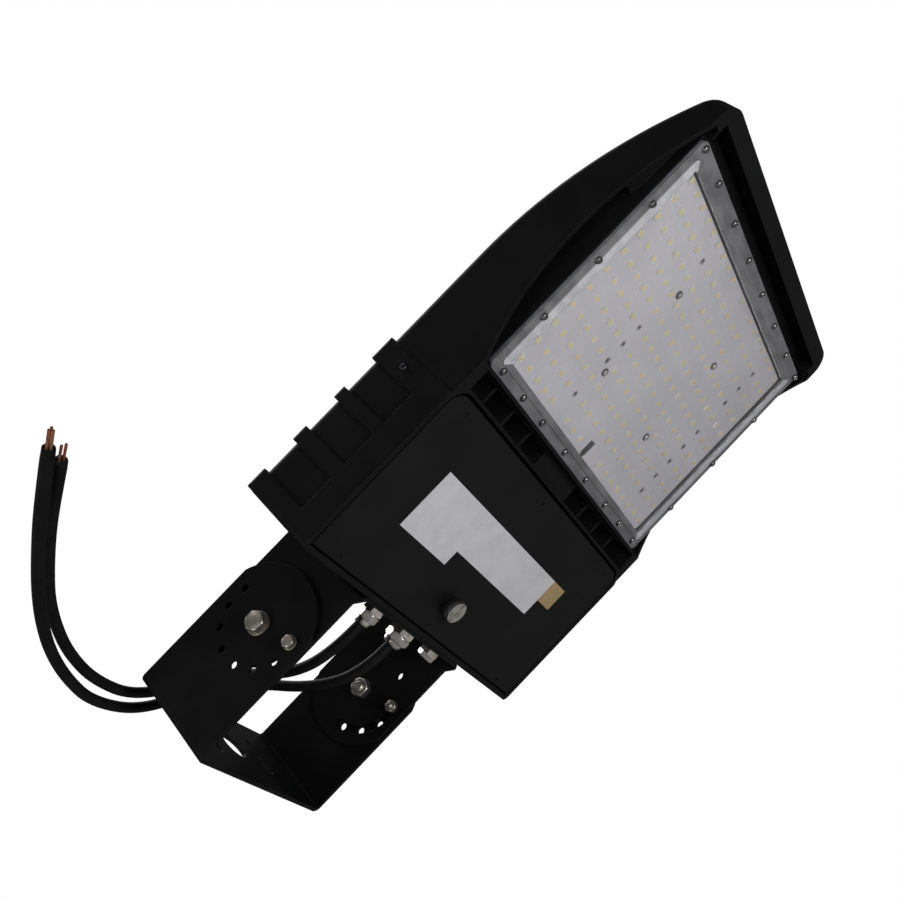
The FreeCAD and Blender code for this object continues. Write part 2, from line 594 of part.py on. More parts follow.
def make_side_screws():
    screws = []
    for side in (-1, 1):
        edge = "house_width / 2"
        start = edge + " - side_screw_bite" if side > 0 else "-" + edge
        shank = bar("screw_size / 2", "side_screw_bite", SIDE_SCREW_X, start, "side_screw_height", "y")
        start = edge if side > 0 else "-%s - screw_cap" % edge
        head = bar("screw_head / 2", "screw_cap", SIDE_SCREW_X, start, "side_screw_height", "y")
        screws.append(fused(shank, head))
    piece("side_screws", group(screws))


# ---- lamp board, lens and their screws -------------------------------------------------------------------
BOARD_FACE = "(%s - pad_wall - board_wall)" % BOARD_SEAT


def slab(start, end, width, height, z, corner=None):
    """A flat plate on the plane of symmetry, with rounded corners where it has them."""
    body = doc.addObject("PartDesign::Body", "slab")
    points = [(start, "-(%s) / 2" % width), (end, "-(%s) / 2" % width), (end, "(%s) / 2" % width),
              (start, "(%s) / 2" % width)]
    pad(body, outline(body, "XY_Plane", points), height, False)
    if corner:
        rounded(body, corner, lambda m, r: near(r.Length, abs(r.z)))
    bind(body, Placement_Base_z=z)
    return body


def make_board():
    holes = [bar("screw_size / 2 + fit_gap", "10", x, y, "%s - 4" % BOARD_FACE)
             for x, y in board_screw_spots()]
    piece("led_board", without(slab(BOARD_START, BOARD_END, BOARD_WIDTH, "board_wall", BOARD_FACE, "3"),
                               *holes))
    holes = [bar("screw_size / 2 + fit_gap", "10", x, y, "%s - 4" % BOARD_FACE)
             for x, y in board_screw_spots()]
    piece("thermal_pad", without(slab(BOARD_START + " + 1", BOARD_END + " - 1", BOARD_WIDTH + " - 2", "pad_wall",
                                      BOARD_FACE + " + board_wall"), *holes))


# Lamps left out of the grid, as (column, row) from the rear near corner, and where small
# resistors stand in one row of the grid on each side.
BARE = {(10, 9), (10, 11), (0, 5), (0, 9), (0, 10)}
RESISTOR_ROWS = ((5, (1, 3, 4, 5, 9)), (16, (1, 2, 3, 4, 5, 7, 8, 9)))


def make_chips():
    """The grid of lamps and the row of small resistors, hanging from the board's face."""
    size, wall = measure("chip_size"), measure("chip_wall")
    face, rows = measure(BOARD_FACE), int(measure("chip_rows"))
    stop = {(column, row) for row, columns in RESISTOR_ROWS for column in columns}

    def spot(column, row):
        return (measure(CHIP_START) + column * measure(CHIP_PITCH),
                (row - (rows - 1) / 2) * measure(CHIP_ROW))
    chips, resistors = [], []
    for column in range(int(measure("chip_columns"))):
        for row in range(rows):
            x, y = spot(column, row)
            if (column, row) in stop:
                resistors.append(Part.makeBox(size, size / 2, wall, V(x - size / 2, y - size / 4,
                                                                     face - wall)))
            elif (column, row) not in BARE:
                chips.append(Part.makeBox(size, size, wall, V(x - size / 2, y - size / 2, face - wall)))
    for name, solids in (("led_chips", chips), ("board_resistors", resistors)):
        thing = doc.addObject("Part::Feature", name)
        thing.Shape = Part.makeCompound(solids)
        piece(name, thing)


def screw(x, y, seat, bite):
    """A pan-head screw driven upwards from below its seat."""
    return fused(bar("screw_size / 2", bite, x, y, seat),
                 bar("screw_head / 2", "screw_cap", x, y, "%s - screw_cap" % seat))


def make_screws():
    piece("board_screws", group(screw(x, y, BOARD_FACE, "screw_bite - 1.5")
                                for x, y in board_screw_spots()))
    piece("lens_screws", group(screw(x, y, "lens_face", "screw_bite + 2") for x, y in lens_screw_spots()))


def make_lens():
    holes = [bar("screw_size / 2 + fit_gap", "10", x, y, "lens_face - 2") for x, y in lens_screw_spots()]
    piece("lens_cover", without(slab("lens_start", LENS_END, LENS_WIDTH, "lens_wall", "lens_face", "4"),
                                *holes))
    ring = slab("lens_start + 0.5", LENS_END + " - 0.5", LENS_WIDTH + " - 1", "gasket_wall",
                "lens_face + lens_wall", "3.5")
    window = wide("%s - %s + 2 * board_gap" % (BOARD_END, BOARD_START), BOARD_WIDTH + " + 2 * board_gap",
                  "10", BOARD_START + " - board_gap", "lens_face")
    holes = [bar("screw_size / 2 + fit_gap", "10", x, y, "lens_face - 2") for x, y in lens_screw_spots()]
    piece("lens_gasket", without(ring, window, *holes))


def make_connector():
    """The wire connector at the middle of the board's rear edge, and the pair of leads into it."""
    piece("board_connector", wide("plug_length", "plug_width", "plug_height", BOARD_START + " + plug_inset",
                                  BOARD_FACE + " - plug_height"))
    leads = [bar("lead_size / 2", "board_gap + plug_inset", BOARD_START + " - board_gap",
                 side + "lead_size * 0.6", BOARD_FACE + " - plug_height / 2", "x") for side in ("-", "")]
    piece("board_leads", group(leads))


# ---- door, hinge and thumb screw -----------------------------------------------------------------------
DOOR_HALF = "(%s - door_gap)" % RECESS_HALF
# Labels from and to a distance along X, and from and to a distance from the door's far side.
LABELS = (("spec_label", 47.0, 91.5, 251.0, 185.5), ("rating_label", 59.0, 91.5, 185.3, 65.5),
          ("gold_label", 73.0, 91.5, 65.3, 44.5))
DIMPLES = ((9.0, -122.0), (9.0, 0.0), (9.0, 122.0), (121.5, -130.0), (121.5, 0.0), (121.5, 130.0))


def make_door():
    plate = doc.addObject("PartDesign::Body", "door_plate")
    start = "(rear_lip + door_gap)"
    points = [(start, "-" + DOOR_HALF), (DOOR_END, "-" + DOOR_HALF), (DOOR_END, DOOR_HALF),
              (start, DOOR_HALF)]
    pad(plate, outline(plate, "XY_Plane", points), "door_wall", False)
    end = measure(DOOR_END)
    rounded(plate, "door_corner", lambda m, r: near(m.x, end) and near(r.Length, abs(r.z)))
    lugs = []
    holes = [bar("knob_bolt / 2 + 0.3", "door_wall + 2", "knob_reach", "0", "-1")]
    for middle in hinge_sides():
        for side in (-1, 1):
            gap = "(hinge_width / 2 + hinge_play)"
            y = "%s + %s" % (middle, gap) if side > 0 else "%s - %s - hinge_arm" % (middle, gap)
            lugs.append(block("hinge_arm", "hinge_arm", "ledge_height - door_wall + 0.5",
                              HINGE_X + " - hinge_arm / 2", y, "door_wall - 0.5"))
            lugs.append(bar("hinge_arm / 2", "hinge_arm", HINGE_X, y, "ledge_height", "y"))
        holes.append(bar("hinge_pin / 2", "hinge_width + 2 * hinge_arm + 4", HINGE_X,
                         middle + " - hinge_width / 2 - hinge_arm - 2", "ledge_height", "y"))
    for x, y in DIMPLES:
        holes.append(bar("dimple / 2", "dimple_depth + 1", str(x), str(y), "-1"))
    piece("door", without(fused(plate, *lugs), *holes))
    pins = [bar("hinge_pin / 2", "hinge_width + 2 * hinge_arm + 2 * hinge_play", HINGE_X,
                middle + " - hinge_width / 2 - hinge_arm - hinge_play", "ledge_height", "y")
            for middle in hinge_sides()]
    piece("hinge_pins", group(pins))
    seal_outer = slab(start + " + 0.4", BAY_END + " + seal_width", "2 * %s - 1" % DOOR_HALF, "seal_wall",
                      "door_wall", "3")
    window = wide(BAY_END + " - rear_wall", "2 * " + BAY_HALF, "10", "rear_wall", "0")
    piece("door_gasket", without(seal_outer, window))
    for name, near_end, far_end, left, right in LABELS:
        piece(name, block(str(far_end - near_end), str(left - right), "label_wall", str(near_end),
                          "%s - %s" % (DOOR_HALF, left), "-label_wall"))


def make_thumb_screw():
    """A black knurled grip with a slotted metal screw through it, held captive in the door."""
    stem = bar("knob_stem / 2", "knob_height / 3", "knob_reach", "0", "-knob_height / 3")
    grip = bar("knob_size / 2", "2 * knob_height / 3", "knob_reach", "0", "-knob_height")
    bore = bar("knob_bolt / 2", "knob_height + 1", "knob_reach", "0", "-knob_height - 0.5")
    piece("thumb_grip", without(fused(stem, grip), bore))
    face = bar("knob_size / 2 - 0.6", "knob_face", "knob_reach", "0", "-knob_height - knob_face")
    shank = bar("knob_bolt / 2", "knob_height + knob_face + knob_bite + door_wall - 2", "knob_reach", "0",
                "-knob_height - knob_face")
    slot = wide("knob_size", "1.8", "knob_face - 0.4", "knob_reach - knob_size / 2",
                "-knob_height - knob_face")
    piece("thumb_screw", without(fused(face, shank), slot))


# ---- glands and cords ------------------------------------------------------------------------------------
GLAND_END = "(bracket_wall + gland_flange + gland_nut + gland_cone)"


def make_glands():
    """Metal cable glands in the rear wall, a blanked one beside them, and their locknuts."""
    bodies, nuts, domes = [], [], []
    for across, thread, flats in GLANDS:
        flange = hexagon(flats, "gland_flange", "-bracket_wall - gland_flange", across, "gland_height",
                         "x")
        stem = bar(thread + " / 2", "bracket_wall + rear_wall + locknut + 1", "-bracket_wall", across,
                   "gland_height", "x")
        bore = bar("cord_size / 2 + 0.4", "bracket_wall + rear_wall + locknut + gland_flange + 3",
                   "-bracket_wall - gland_flange - 1", across, "gland_height", "x")
        bodies.append(without(fused(flange, stem), bore))
        nut = hexagon(flats + " + 1", "locknut", "rear_wall", across, "gland_height", "x")
        hole = bar(thread + " / 2 + fit_gap", "locknut", "rear_wall", across, "gland_height", "x")
        nuts.append(without(nut, hole))
    for across, thread, flats in GLANDS[:2]:
        ring = hexagon(flats + " - 1", "gland_nut", "-bracket_wall - gland_flange - gland_nut", across,
                       "gland_height", "x")
        taper = cone("cord_size / 2 + 1.5", flats + " / 2 - 1", "gland_cone", "-" + GLAND_END, across,
                     "gland_height", "x")
        domes.append(fused(ring, taper))
    piece("gland_bodies", group(bodies))
    piece("gland_locknuts", group(nuts))
    piece("gland_domes", group(domes))
    piece("breather_plug", hexagon("small_flats - 2", "plug_cap", "-bracket_wall - gland_flange - plug_cap",
                                   GLAND_FAR, "gland_height", "x"))


def cord_path(points):
    """Straight runs joined by tangent arcs, each as large as its two runs allow."""
    edges, radii = [], []
    last = points[0]
    for before, corner, after in zip(points, points[1:], points[2:]):
        back, ahead = before - corner, after - corner
        half_turn = (math.pi - back.getAngle(ahead)) / 2
        trim = 0.45 * min(back.Length, ahead.Length)
        radius = trim / math.tan(half_turn)
        radii.append(radius)
        back.normalize()
        ahead.normalize()
        start, finish = corner + back * trim, corner + ahead * trim
        inward = (back + ahead).normalize()
        middle = corner + inward * (radius / math.cos(half_turn) - radius)
        edges.append(Part.LineSegment(last, start).toShape())
        edges.append(Part.Arc(start, middle, finish).toShape())
        last = finish
    edges.append(Part.LineSegment(last, points[-1]).toShape())
    return Part.Wire(edges), radii


# The cords leave their glands, climb between the ears, cross over the yoke's rear edge side by
# side and sag out past its near ear. Each route starts at its gland, in the part's own frame.
DIMMING_ROUTE = ((102, -38, -31.5), (71, -29, -14), (42, -19, 24), (8, -22, 49), (-20, -47, 57),
                 (-21, -88, 57), (-11, -125, 53), (3, -157, 45), (20, -188, 36), (39, -216, 25),
                 (60, -244, 14), (80, -270, 1), (104, -299, -14))
SUPPLY_ROUTE = ((101, 5, -31.5), (69, 3, -12), (39, -1, 25), (5, -7, 52), (-26, -34, 54), (-33, -80, 51),
                (-23, -120, 45), (-8, -157, 37), (11, -191, 27), (31, -222, 15), (53, -252, 3),
                (77, -282, -8), (107, -315, -20))


def make_cord(name, gland, route, conductors):
    """One cord as a tube along its path, and its bare conductors standing out of the cut end."""
    start = V(measure(REAR + " - " + GLAND_END), measure(gland), measure(UNDER + " + gland_height"))
    points = [start] + [V(*point) for point in route]
    radius = measure("cord_size / 2")
    path, radii = cord_path(points)
    ring = Part.Wire(Part.makeCircle(radius, start, points[1] - start))
    tube = path.makePipeShell([ring], True, True)
    length = path.Length
    print(name, "length %.0f" % length, "tightest arc %.0f" % min(radii),
          "volume against section times length %.4f" % (tube.Volume / (math.pi * radius ** 2 * length)))
    thing = doc.addObject("Part::Feature", name)
    thing.Shape = tube
    piece(name, thing, False)
    along = (points[-1] - points[-2]).normalize()
    across = along.cross(V(0, 0, 1)).normalize()
    spread = measure("conductor") * 0.75
    strands = []
    for number in range(conductors):
        turn = FreeCAD.Rotation(along, 360 * number / conductors)
        foot = points[-1] + turn.multVec(across) * spread
        strands.append(Part.makeCylinder(measure("conductor / 2"), measure("conductor_length"), foot,
                                         along))
    thing = doc.addObject("Part::Feature", name.replace("cord", "conductors"))
    thing.Shape = Part.makeCompound(strands)
    piece(name.replace("cord", "conductors"), thing, False)


# ---- what the box holds ----------------------------------------------------------------------------------
def make_inside():
    """The driver, surge guard and terminal block, fixed to the roof of the wiring bay."""
    roof = "(bay_height)"
    length = "(2 * %s - driver_room)" % BAY_HALF
    start = "(rear_wall + 6 + guard_width + driver_clear)"
    width = "(%s - driver_gap - %s)" % (BAY_END, start)
    case = block(width, length, "driver_height", start, "driver_shift - %s / 2" % length,
                 roof + " - driver_height")
    tabs = [block(width + " / 2", "8", "2", "%s + %s / 4" % (start, width), y, roof + " - 2")
            for y in ("driver_shift - %s / 2 - 8" % length, "driver_shift + %s / 2" % length)]
    piece("led_driver", fused(case, *tabs))
    guard_y = "(-house_width / 2 + side_wall + 12)"
    piece("surge_guard", block("guard_width", "guard_length", "guard_height", "rear_wall + 6", guard_y,
                               roof + " - guard_height"))
    piece("terminal_block", block("block_width", "block_length", "block_height", "rear_wall + 6",
                                  guard_y + " + guard_length + 8", roof + " - block_height"))


make_yoke()
hardware("pivot", "pivot_size", "pivot_flats", "pivot_head", "pivot_washer", "pivot_nut", "pivot_reach",
         "0")
hardware("lock", "lock_size", "lock_flats", "lock_head", "lock_washer", "lock_nut",
         "pivot_reach + index_radius * cos(%s)" % LOCK_ANGLE, "index_radius * sin(%s)" % LOCK_ANGLE)
make_bracket()
make_bracket_bolts()
make_housing()
make_side_screws()
make_board()
make_chips()
make_screws()
make_lens()
make_connector()
make_door()
make_thumb_screw()
make_glands()
make_cord("dimming_cord", GLAND_NEAR, DIMMING_ROUTE, 2)
make_cord("supply_cord", "gland_mid", SUPPLY_ROUTE, 3)
make_inside()
doc.recompute()

# ---- check and write ------------------------------------------------------------------------------------
for thing in doc.Objects:
    if "Invalid" in thing.State or "Error" in thing.State:
        raise RuntimeError("%s (%s) failed" % (thing.Label, thing.Name))
for thing in PIECES:
    if thing.Shape.isNull() or not thing.Shape.isValid() or not thing.Shape.Solids:
        raise RuntimeError("%s has no valid solid" % thing.Label)
os.makedirs("parts", exist_ok=True)
for thing in PIECES:
    thing.Shape.exportStep("parts/%s.step" % thing.Label)
    print("%-18s %3d solids %9.1f cm3" % (thing.Label, len(thing.Shape.Solids), thing.Shape.Volume / 1000))
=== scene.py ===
"""Looks of a shoebox area light on a trunnion yoke: lamp side down, +X towards the nose, metres."""

import math

import bmesh
import bpy
from mathutils import Matrix, Vector


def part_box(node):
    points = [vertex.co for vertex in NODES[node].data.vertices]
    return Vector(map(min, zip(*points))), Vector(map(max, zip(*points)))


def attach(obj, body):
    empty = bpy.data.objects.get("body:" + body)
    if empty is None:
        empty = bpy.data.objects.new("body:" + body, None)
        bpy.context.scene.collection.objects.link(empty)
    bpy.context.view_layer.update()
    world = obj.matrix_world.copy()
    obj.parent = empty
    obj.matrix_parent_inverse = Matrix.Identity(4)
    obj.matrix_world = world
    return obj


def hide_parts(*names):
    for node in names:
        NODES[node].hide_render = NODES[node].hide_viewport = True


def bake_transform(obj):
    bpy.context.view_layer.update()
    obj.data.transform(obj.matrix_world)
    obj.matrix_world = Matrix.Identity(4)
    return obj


MM = 0.001
DOWN = (0, 0, -1)
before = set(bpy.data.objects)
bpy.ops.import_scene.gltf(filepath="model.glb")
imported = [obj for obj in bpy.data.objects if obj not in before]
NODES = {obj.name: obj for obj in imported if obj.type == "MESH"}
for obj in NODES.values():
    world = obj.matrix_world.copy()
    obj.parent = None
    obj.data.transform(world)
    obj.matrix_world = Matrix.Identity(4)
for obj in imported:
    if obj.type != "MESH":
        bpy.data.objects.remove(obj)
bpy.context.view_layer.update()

# ---- camera ------------------------------------------------------------------
CAMERA_PLACE = (0.2136, -0.7176, -0.4980)
CAMERA_AIM = (0.2467, -0.1172, -0.0455)
CAMERA_UP = (0.719, -0.443, 0.535)
CAMERA_LENS = 50.26
SENSOR = 36.0

# ---- cords, as the part's own routes -----------------------------------------
CORD_SIZE = 7.5 * MM
GLAND_END = 127.4
GLAND_HEIGHT = -31.5
DIMMING_GLAND = -38.0
SUPPLY_GLAND = 5.0
DIMMING_ROUTE = ((102, -38, -31.5), (71, -29, -14), (42, -19, 24), (8, -22, 49), (-20, -47, 57),
                 (-21, -88, 57), (-11, -125, 53), (3, -157, 45), (20, -188, 36), (39, -216, 25),
                 (60, -244, 14), (80, -270, 1), (104, -299, -14))
SUPPLY_ROUTE = ((101, 5, -31.5), (69, 3, -12), (39, -1, 25), (5, -7, 52), (-26, -34, 54),
                (-33, -80, 51), (-23, -120, 45), (-8, -157, 37), (11, -191, 27), (31, -222, 15),
                (53, -252, 3), (77, -282, -8), (107, -315, -20))
CORD_SIDES = 24


# ---- shader maths ------------------------------------------------------------
class Value:
    """One value in a material. Each operator adds its Math node."""

    def __init__(self, paint, socket):
        self.paint = paint
        self.socket = socket

    def math(self, operation, *others):
        inputs = {0: self}
        inputs.update({number: other for number, other in enumerate(others, 1)})
        return self.paint.node("ShaderNodeMath", {"operation": operation}, inputs)

    def __add__(self, other):
        return self.math("ADD", other)

    __radd__ = __add__

    def __mul__(self, other):
        return self.math("MULTIPLY", other)

    __rmul__ = __mul__

    def __sub__(self, other):
        return self.math("SUBTRACT", other)

    def __rsub__(self, other):
        return self * -1.0 + other

    def __truediv__(self, other):
        return self.math("DIVIDE", other)

    def size(self):
        return self.math("ABSOLUTE")

    def band(self, low, high):
        """0 below low and 1 above high, smoothly between."""
        inputs = {"Value": self, "From Min": low, "From Max": high}
        return self.paint.node("ShaderNodeMapRange", {"interpolation_type": "SMOOTHSTEP"}, inputs)


class Paint:
    """A procedural finish."""

    def __init__(self, name):
        self.material = bpy.data.materials.new(name)
        self.material.use_nodes = True
        self.tree = self.material.node_tree
        self.shader = self.tree.nodes["Principled BSDF"]
        self.places = self.tree.nodes.new("ShaderNodeTexCoord").outputs["Object"]

    def node(self, kind, settings=None, inputs=None, output=0):
        """A node with its settings made first and then its inputs, as values or links."""
        node = self.tree.nodes.new(kind)
        for name, setting in (settings or {}).items():
            setattr(node, name, setting)
        for name, value in (inputs or {}).items():
            self.feed(node.inputs[name], value)
        return Value(self, node.outputs[output])

    def feed(self, socket, value):
        if isinstance(value, Value):
            self.tree.links.new(value.socket, socket)
        else:
            socket.default_value = value

    def set(self, **sockets):
        """Feeds the shader's sockets, named with underscores for spaces."""
        for name, value in sockets.items():
            self.feed(self.shader.inputs[name.replace("_", " ")], value)
        return self

    def noise(self, size, detail, stretch=(1, 1, 1)):
        """Noise with features of a size in metres, drawn out along an axis by its stretch."""
        scaled = self.node("ShaderNodeVectorMath", {"operation": "MULTIPLY"},
                           {0: Value(self, self.places), 1: [1 / part for part in stretch]})
        return self.node("ShaderNodeTexNoise", None,
                         {"Vector": scaled, "Scale": 1 / size, "Detail": detail})

    def mix(self, share, first, second):
        """Two colours, or a colour and a mixed one, by a share from 0 to 1."""
        return self.node("ShaderNodeMix", {"data_type": "RGBA"},
                         {0: share, 6: first, 7: second}, 2)

    def bump(self, height, distance, edge=0.0):
        """A bump by a height, over edges that are eased by a radius where it is given."""
        inputs = {"Height": height, "Distance": distance}
        if edge:
            inputs["Normal"] = self.node("ShaderNodeBevel", {"samples": 4}, {"Radius": edge})
        return self.node("ShaderNodeBump", None, inputs)

    def axis(self, number):
        """A coordinate of the surface, in metres."""
        return self.node("ShaderNodeSeparateXYZ", None, {0: Value(self, self.places)}, number)


def grey(level, tint=(1.0, 1.0, 1.0)):
    return (level * tint[0], level * tint[1], level * tint[2], 1.0)


def shaded(colour, share):
    """A colour made darker, or lighter up to white, by a share."""
    return tuple(min(1.0, part * share) for part in colour[:3]) + (1.0,)


# ---- finishes ----------------------------------------------------------------
COOL = (0.96, 0.98, 1.06)
WARM = (1.06, 1.0, 0.93)
ROSE = (1.0, 0.975, 1.015)


def powder_coat(name, level, gloss, rough=0.5):
    """Black powder coat: a fine pebbled skin with a faint cloudiness and specks."""
    paint = Paint(name)
    pebble = paint.noise(0.9 * MM, 2.0)
    fine = paint.noise(0.35 * MM, 1.0)
    cloud = paint.noise(38 * MM, 3.0)
    shade = paint.mix(cloud.band(0.3, 0.7), grey(level * 0.86, COOL), grey(level * 1.18, COOL))
    speck = fine.band(0.66, 0.8)
    return paint.set(
        Base_Color=paint.mix(speck * 0.5, shade, grey(level * 2.2, COOL)),
        Roughness=cloud * 0.16 + fine * 0.08 + (rough - 0.12),
        Specular_IOR_Level=gloss,
        Normal=paint.bump(pebble + fine * 0.4, 0.05 * MM, 0.8 * MM)).material


def plated(name, colour, rough, scratch=0.25):
    """Bare plated metal with a dull cloud, fine scratches and darker staining."""
    paint = Paint(name)
    cloud = paint.noise(5 * MM, 4.0)
    lines = paint.noise(0.5 * MM, 2.0, (1, 1, 9))
    return paint.set(
        Base_Color=paint.mix(cloud.band(0.42, 0.75), colour, shaded(colour, 0.55)),
        Metallic=1.0,
        Roughness=cloud * 0.2 + lines * scratch * 0.5 + (rough - 0.1),
        Normal=paint.bump(lines, 0.012 * MM)).material


def rubber(name, level, rough, gloss=0.2):
    """Extruded rubber or soft plastic with a faint bloom and drawn lines."""
    paint = Paint(name)
    bloom = paint.noise(14 * MM, 4.0)
    grain = paint.noise(0.5 * MM, 2.0)
    return paint.set(
        Base_Color=paint.mix(bloom.band(0.35, 0.75), grey(level, COOL), grey(level * 1.7, COOL)),
        Roughness=bloom * 0.15 + grain * 0.1 + (rough - 0.1),
        Specular_IOR_Level=gloss,
        Normal=paint.bump(grain, 0.03 * MM)).material


def moulded(name, colour, rough, gloss=0.4):
    """Hard moulded plastic with a fine grain."""
    paint = Paint(name)
    grain = paint.noise(0.4 * MM, 2.0)
    cloud = paint.noise(9 * MM, 3.0)
    return paint.set(
        Base_Color=paint.mix(cloud.band(0.3, 0.75), colour, shaded(colour, 0.88)),
        Roughness=grain * 0.12 + (rough - 0.06),
        Specular_IOR_Level=gloss,
        Normal=paint.bump(grain, 0.02 * MM)).material


def film(name, colour):
    """A bare label: a matt film with a brushed sheen and edges that lift slightly."""
    paint = Paint(name)
    brushed = paint.noise(0.25 * MM, 2.0, (1, 26, 1))
    wave = paint.noise(16 * MM, 2.0)
    shade = paint.mix(wave.band(0.35, 0.7), colour, shaded(colour, 0.9))
    return paint.set(
        Base_Color=paint.mix(brushed.band(0.4, 0.7) * 0.5, shade, shaded(colour, 1.12)),
        Roughness=brushed * 0.2 + 0.4,
        Specular_IOR_Level=0.3,
        Normal=paint.bump(wave + brushed * 0.1, 0.25 * MM)).material


def lamp_board():
    """White solder resist, mottled, over faint square copper lands that join the lamps."""
    paint = Paint("lamp_board")
    mottle = paint.noise(1.6 * MM, 3.0)
    cloud = paint.noise(45 * MM, 2.0)
    base = paint.mix(cloud.band(0.35, 0.7), grey(0.74, ROSE), grey(0.68, ROSE))
    lands = None
    for number in (0, 1):
        step = (paint.axis(number) - CHIP_FIRST[number]) / CHIP_PITCH[number] + 100.5
        line = (step.math("FRACT") - 0.5).size().band(0.44, 0.47)
        lands = line if lands is None else lands.math("MAXIMUM", line)
    toned = paint.mix(lands * 0.07, base, grey(0.5, (1.0, 0.97, 1.02)))
    return paint.set(
        Base_Color=paint.mix(mottle.band(0.45, 0.8) * 0.25, toned, grey(0.56, (1.0, 0.97, 1.03))),
        Roughness=mottle * 0.1 + 0.42,
        Specular_IOR_Level=0.35,
        Normal=paint.bump(lands * -0.3 + mottle * 0.1, 0.03 * MM)).material


def clear_pane():
    """The clear lens in front of the board."""
    paint = Paint("clear_pane")
    wave = paint.noise(30 * MM, 2.0)
    return paint.set(Base_Color=(0.97, 0.97, 0.985, 1.0), Roughness=wave * 0.03 + 0.02,
                     Transmission_Weight=1.0, IOR=1.45,
                     Normal=paint.bump(wave, 0.02 * MM)).material


def frosted_rim(name, low, high):
    """The lens's flange: cloudy plastic with streaks from its mould."""
    paint = Paint(name)
    streak = paint.noise(9 * MM, 4.0, (1, 2.5, 1))
    fine = paint.noise(1.1 * MM, 2.0)
    shade = paint.mix(streak.band(0.36, 0.66), grey(low, (1.0, 1.0, 1.06)),
                      grey(high, (1.0, 1.0, 1.05)))
    return paint.set(
        Base_Color=paint.mix(fine.band(0.6, 0.8) * 0.4, shade, grey(high * 1.8)),
        Roughness=streak * 0.2 + 0.22,
        Specular_IOR_Level=0.4,
        Normal=paint.bump(streak + fine * 0.15, 0.12 * MM)).material


def phosphor():
    """The yellow layer that glows in a lamp."""
    paint = Paint("lamp_phosphor")
    grain = paint.noise(0.4 * MM, 2.0)
    return paint.set(
        Base_Color=paint.mix(grain, (0.80, 0.66, 0.28, 1.0), (0.90, 0.78, 0.42, 1.0)),
        Roughness=grain * 0.1 + 0.35, Specular_IOR_Level=0.3).material


# ---- forms -------------------------------------------------------------------
def at(value, angle):
    """A number, or what a rule gives at an angle."""
    return value(angle) if callable(value) else value


class Form:
    """Closed shapes skinned over rings of points, gathered into one mesh."""

    def __init__(self):
        self.points = []
        self.faces = []
        self.finish = []

    def skin(self, rings, finish=0):
        """One closed shape over rings that have equally many points."""
        start, count = len(self.points), len(rings[0])
        for ring in rings:
            self.points.extend(ring)
        faces = [tuple(range(start + count - 1, start - 1, -1))]
        for row in range(len(rings) - 1):
            low = start + row * count
            for number in range(count):
                after = (number + 1) % count
                faces.append((low + number, low + after, low + count + after, low + count + number))
        faces.append(tuple(range(len(self.points) - count, len(self.points))))
        self.faces.extend(faces)
        self.finish.extend([finish] * len(faces))
        return self

    def turned(self, centre, along, steps, finish=0, sides=48):
        """A turned shape: steps of (distance along the axis, radius), each a number or a rule of
        the angle round the axis."""
        turn = Vector(along).to_track_quat("Z", "Y").to_matrix()
        rings = []
        for rise, radius in steps:
            ring = []
            for number in range(sides):
                angle = 2 * math.pi * number / sides
                reach = at(radius, angle)
                spot = Vector((reach * math.cos(angle), reach * math.sin(angle), at(rise, angle)))
                ring.append(Vector(centre) + turn @ spot)
            rings.append(ring)
        return self.skin(rings, finish)

    def slab(self, low, high, levels, corner, finish=0, steps=4):
        """A rounded rectangle on X and Y at each level of (height, inset)."""
        rings = []
        for height, inset in levels:
            x0, x1, y0, y1 = low[0] + inset, high[0] - inset, low[1] + inset, high[1] - inset
            round_off = max(corner - inset, 0.02 * MM)
            ring = []
            for cx, cy, first in ((x1, y1, 0), (x0, y1, 1), (x0, y0, 2), (x1, y0, 3)):
                mx = cx - round_off if cx == x1 else cx + round_off
                my = cy - round_off if cy == y1 else cy + round_off
                for step in range(steps + 1):
                    angle = math.pi / 2 * (first + step / steps)
                    ring.append(Vector((mx + round_off * math.cos(angle),
                                        my + round_off * math.sin(angle), height)))
            rings.append(ring)
        return self.skin(rings, finish)

    def band(self, rings):
        """A closed band: rings joined round to the first one, with no end faces."""
        start, count, rows = len(self.points), len(rings[0]), len(rings)
        for ring in rings:
            self.points.extend(ring)
        for row in range(rows):
            low, high = start + row * count, start + ((row + 1) % rows) * count
            for number in range(count):
                after = (number + 1) % count
                self.faces.append((low + number, low + after, high + after, high + number))
                self.finish.append(0)
        return self

    def piece(self, name, finishes, body, *replaced, slot=None, crease=35):
        """Makes the mesh, puts it on its body and hides the solids it stands for."""
        mesh = bpy.data.meshes.new(name)
        mesh.from_pydata([tuple(point) for point in self.points], [], self.faces)
        for finish in finishes:
            mesh.materials.append(finish)
        mesh.polygons.foreach_set("material_index", self.finish)
        mesh.polygons.foreach_set("use_smooth", [True] * len(mesh.polygons))
        mesh.set_sharp_from_angle(angle=math.radians(crease))
        mesh.validate()
        thing = bpy.data.objects.new(name, mesh)
        bpy.context.scene.collection.objects.link(thing)
        if body:
            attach(thing, body)
        if replaced:
            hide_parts(*replaced)
        return thing


LOOP_STEPS = 6


def loops(low, high, corner):
    """A rounded rectangle as (x, y, outward x, outward y)."""
    loop = []
    for sx, sy, first in ((1, 1, 0), (-1, 1, 1), (-1, -1, 2), (1, -1, 3)):
        cx = high.x - corner if sx > 0 else low.x + corner
        cy = high.y - corner if sy > 0 else low.y + corner
        for step in range(LOOP_STEPS + 1):
            angle = math.pi / 2 * (first + step / LOOP_STEPS)
            nx, ny = math.cos(angle), math.sin(angle)
            loop.append((cx + nx * corner, cy + ny * corner, nx, ny))
    return loop


def hexagon(flats):
    """The reach of a hexagon at an angle, from the size across its flats."""
    def reach(angle):
        turn = angle % (math.pi / 3) - math.pi / 6
        return flats / 2 / math.cos(turn)
    return reach


